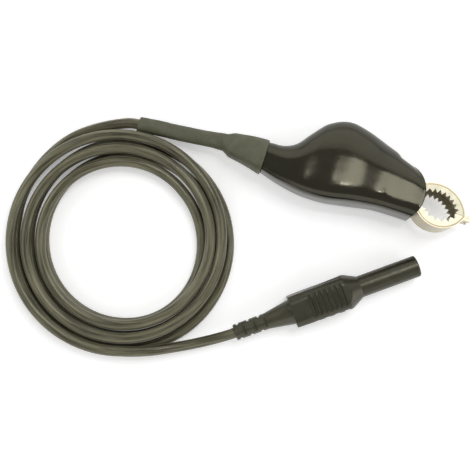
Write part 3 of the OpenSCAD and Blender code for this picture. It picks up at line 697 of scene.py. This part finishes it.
WIRE_R, WIRE_SIDES = 0.6, 14
SPRING_R, SPRING_TRAVEL, SPRING_LEG = 2.7, 5.8, 17.0
SPRING_FROM, SPRING_TO = 41.95, -1165.0
SPRING_STEPS, LEG_STEPS = 160, 12


def spring_point(share):
    """Place and direction of the wire at a share of its windings, on the clip's axes."""
    angle = SPRING_FROM + (SPRING_TO - SPRING_FROM) * share
    place = np.array([*polar(SPRING_R, angle), SPRING_TRAVEL * (0.5 - share)])
    return place, np.array([*polar(1, angle - 90), 0])


def build_spring():
    """Windings round the rivet with a straight leg at each end."""
    (first, first_way), (last, last_way) = spring_point(0), spring_point(1)
    route = [first - SPRING_LEG * (1 - k / LEG_STEPS) * first_way for k in range(LEG_STEPS)]
    route += [spring_point(i / SPRING_STEPS)[0] for i in range(SPRING_STEPS + 1)]
    route += [last + SPRING_LEG * k / LEG_STEPS * last_way for k in range(1, LEG_STEPS + 1)]
    rings = [[clip(p) for p in ring] for ring in tube_rings(route, WIRE_R, WIRE_SIDES)]
    verts, faces = capped(rings)
    return mesh_object("spring", verts, faces, WIRE)


spring = build_spring()
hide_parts("torsion_spring")
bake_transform(spring)


# ---------------------------------------------------------------- heat-shrink sleeve

SLEEVE_SIDES, SLEEVE_INNER_EVERY = 64, 4
SLEEVE_GAP, SLEEVE_WALL, STRETCHED_WALL = 0.1, 1.15, 0.75
SLEEVE_R = CABLE_R + SLEEVE_GAP + SLEEVE_WALL
NARROW_FROM, NARROW_STEP = (-72.1, 1.3, -2.3), 0.8
SLEEVE_WAVE, SLEEVE_WAVE_RATE, SLEEVE_WAVE_AT = 0.10, 0.35, 1.7
SHOULDER_SWELL, SHOULDER_FADE, SHOULDER_STEPS = 0.4, 5, 5

# The sleeve covers 5 of 26 parts of the boot's length. Its front edge is EDGE_SHARE as thick as the rest.
COVERED, COVER_STEPS, EDGE_SHARE = (BOOT_FRONT - BOOT_REAR) * 5 / 26, 30, 0.8


def sleeve_ring(p, r):
    """Ring of radius r round a point of the sleeve's route, square to the clip's x axis."""
    angles = [math.radians(360 * k / SLEEVE_SIDES) for k in range(SLEEVE_SIDES)]
    return [clip(np.array(p) + np.array([0, r * math.sin(a), r * math.cos(a)])) for a in angles]


def narrow_rings(route):
    """The outer skin over the cable, a little wavy, and wider where it meets the shoulder."""
    rings = []
    for i, p in enumerate(route):
        share = i / (len(route) - 1)
        place = Vector((p[0] * SLEEVE_WAVE_RATE, SLEEVE_WAVE_AT, 0.0))
        wave = SLEEVE_WAVE * noise.noise(place) - SLEEVE_WAVE / 2
        swell = SHOULDER_SWELL * (1 - smooth(share * SHOULDER_FADE))
        rings.append(sleeve_ring(p, SLEEVE_R + swell + wave))
    return rings


def stretched_rings(covered):
    """The outer skin over the boot's neck, thinner at its front edge."""
    walls = [STRETCHED_WALL * (1 if i < COVER_STEPS - 1 else EDGE_SHARE) for i in range(len(covered))]
    return [boot_ring(x, -SLEEVE_GAP - wall, SLEEVE_SIDES) for x, wall in zip(covered, walls)]


def shoulder_rings(narrow, wide):
    """Rings between the sleeve's narrow part and its stretched one."""
    narrow, wide = np.array(narrow), np.array(wide)
    return [list(narrow + (wide - narrow) * (k / SHOULDER_STEPS)) for k in range(1, SHOULDER_STEPS)]


def build_sleeve():
    route = catmull([NARROW_FROM] + SLEEVE_ROUTE[1:], NARROW_STEP)
    covered = [BOOT_REAR + COVERED * i / COVER_STEPS for i in range(COVER_STEPS + 1)]
    outer = narrow_rings(route)
    stretched = stretched_rings(covered)
    inner_wide = [boot_ring(x, -SLEEVE_GAP, SLEEVE_SIDES) for x in reversed(covered)]
    inner_route = route[:-1:SLEEVE_INNER_EVERY] + [route[-1]]
    inner_narrow = [sleeve_ring(p, CABLE_R + SLEEVE_GAP) for p in inner_route]
    rings = outer[::-1] + shoulder_rings(outer[0], stretched[0]) + stretched + inner_wide + inner_narrow
    verts, faces = skin(rings)
    return mesh_object("sleeve", verts, faces, SHRINK)


sleeve = build_sleeve()
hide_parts("heat_shrink_sleeve")
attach(sleeve, ROOT)


# ---------------------------------------------------------------- materials of the CAD's own pieces

NODE_FINISHES = {
    "lower_jaw": LOWER_PLATE, "upper_jaw": SHADED_UPPER_PLATE, "pivot_rivet": NICKEL,
    "clip_conductor": COPPER, "strain_relief": RELIEF, "plug_grip": GRIP, "plug_shroud": SHROUD,
    "contact_pin": NICKEL, "contact_cage": GOLD, "plug_conductor": COPPER,
}
for name, finish in NODE_FINISHES.items():
    give(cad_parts[name], finish)


# ---------------------------------------------------------------- floor

# Radius and height of the floor's edge, which curves up far from the object
FLOOR_PROFILE = [(2.4, 0), (2.7, 0.03), (2.95, 0.13), (3.15, 0.32), (3.25, 0.6), (3.3, 2.6)]
FLOOR_SIDES, FLOOR_DROP, FLOOR_GLOW = 72, 0.00005, 0.28


def floor_mesh():
    """One flat face under the object, and rings of faces that curve up round it on all sides."""
    angles = [2 * math.pi * k / FLOOR_SIDES for k in range(FLOOR_SIDES)]
    verts = [(r * math.cos(a), r * math.sin(a), z) for r, z in FLOOR_PROFILE for a in angles]
    faces = []
    for i in range(len(FLOOR_PROFILE) - 1):
        for k in range(FLOOR_SIDES):
            here, above, q = i * FLOOR_SIDES, (i + 1) * FLOOR_SIDES, (k + 1) % FLOOR_SIDES
            faces.append((here + k, here + q, above + q, above + k))
    faces.append(tuple(range(FLOOR_SIDES)))
    data = bpy.data.meshes.new("floor")
    data.from_pydata(verts, [], faces)
    for face in data.polygons:
        face.use_smooth = len(face.vertices) == 4
    return data


def floor_material():
    """Pale and matte, and a little brighter where the camera, a reflection or glass sees it."""
    made, tree, shader = material("floor")
    shader.inputs["Roughness"].default_value = 0.9
    shader.inputs["Specular IOR Level"].default_value = 0.1
    colour = colours(tree, noise_at(tree, scale=6), low=(0.90, 0.90, 0.90), high=(0.93, 0.93, 0.93))
    tree.links.new(colour, shader.inputs["Base Color"])
    rays = tree.nodes.new("ShaderNodeLightPath")
    seen = rays.outputs["Is Camera Ray"]
    for kind in ("Is Glossy Ray", "Is Transmission Ray"):
        seen = math_node(tree, "MAXIMUM", seen, rays.outputs[kind])
    glow = tree.nodes.new("ShaderNodeEmission")
    glow.inputs["Color"].default_value = (1, 1, 1, 1)
    glow.inputs["Strength"].default_value = FLOOR_GLOW
    both = tree.nodes.new("ShaderNodeAddShader")
    tree.links.new(shader.outputs[0], both.inputs[0])
    tree.links.new(glow.outputs[0], both.inputs[1])
    mix = tree.nodes.new("ShaderNodeMixShader")
    tree.links.new(seen, mix.inputs["Fac"])
    tree.links.new(shader.outputs[0], mix.inputs[1])
    tree.links.new(both.outputs[0], mix.inputs[2])
    tree.links.new(mix.outputs[0], tree.nodes["Material Output"].inputs["Surface"])
    return made


def floor():
    data = floor_mesh()
    data.materials.append(floor_material())
    obj = bpy.data.objects.new("floor", data)
    obj.location.z = -FLOOR_DROP
    bpy.context.scene.collection.objects.link(obj)


floor()


# ---------------------------------------------------------------- light

CLIP_TARGET, TABLE_TARGET = (0.02, 0, 0.02), (0, -0.02, 0)
WORLD_STRENGTH = 0.42

# Each lamp's name, shape, place, target, sizes and watts
LAMPS = [
    ("key", "ELLIPSE", (0.129, 0.397, 0.88), CLIP_TARGET, (0.46, 0.40), 2.4),
    ("glint", "ELLIPSE", (0.042, 0.225, 0.88), CLIP_TARGET, (0.085, 0.035), 0.5),
    ("back", "RECTANGLE", (-0.1, 1.0, 0.5), TABLE_TARGET, (1.3, 0.85), 3.1),
    ("left", "RECTANGLE", (-1.0, -0.1, 0.6), TABLE_TARGET, (0.8, 0.9), 3.2),
    ("front", "RECTANGLE", (0.2, -1.0, 0.5), TABLE_TARGET, (1.3, 0.9), 2.9),
    ("right", "RECTANGLE", (1.0, 0.0, 0.5), TABLE_TARGET, (0.7, 0.9), 3.0),
]


def lamp(name, shape, place, target, sizes, watts):
    data = bpy.data.lights.new(name, "AREA")
    data.shape = shape
    data.size, data.size_y = sizes
    data.energy = watts
    obj = bpy.data.objects.new(name, data)
    bpy.context.scene.collection.objects.link(obj)
    obj.location = place
    obj.rotation_euler = (Vector(target) - Vector(place)).to_track_quat("-Z", "Y").to_euler()


def surroundings():
    """An even white light from all sides."""
    world = bpy.data.worlds.new("world")
    bpy.context.scene.world = world
    world.use_nodes = True
    background = world.node_tree.nodes["Background"]
    background.inputs["Color"].default_value = (1, 1, 1, 1)
    background.inputs["Strength"].default_value = WORLD_STRENGTH


for row in LAMPS:
    lamp(*row)
surroundings()
bpy.context.scene.view_settings.view_transform = "Standard"
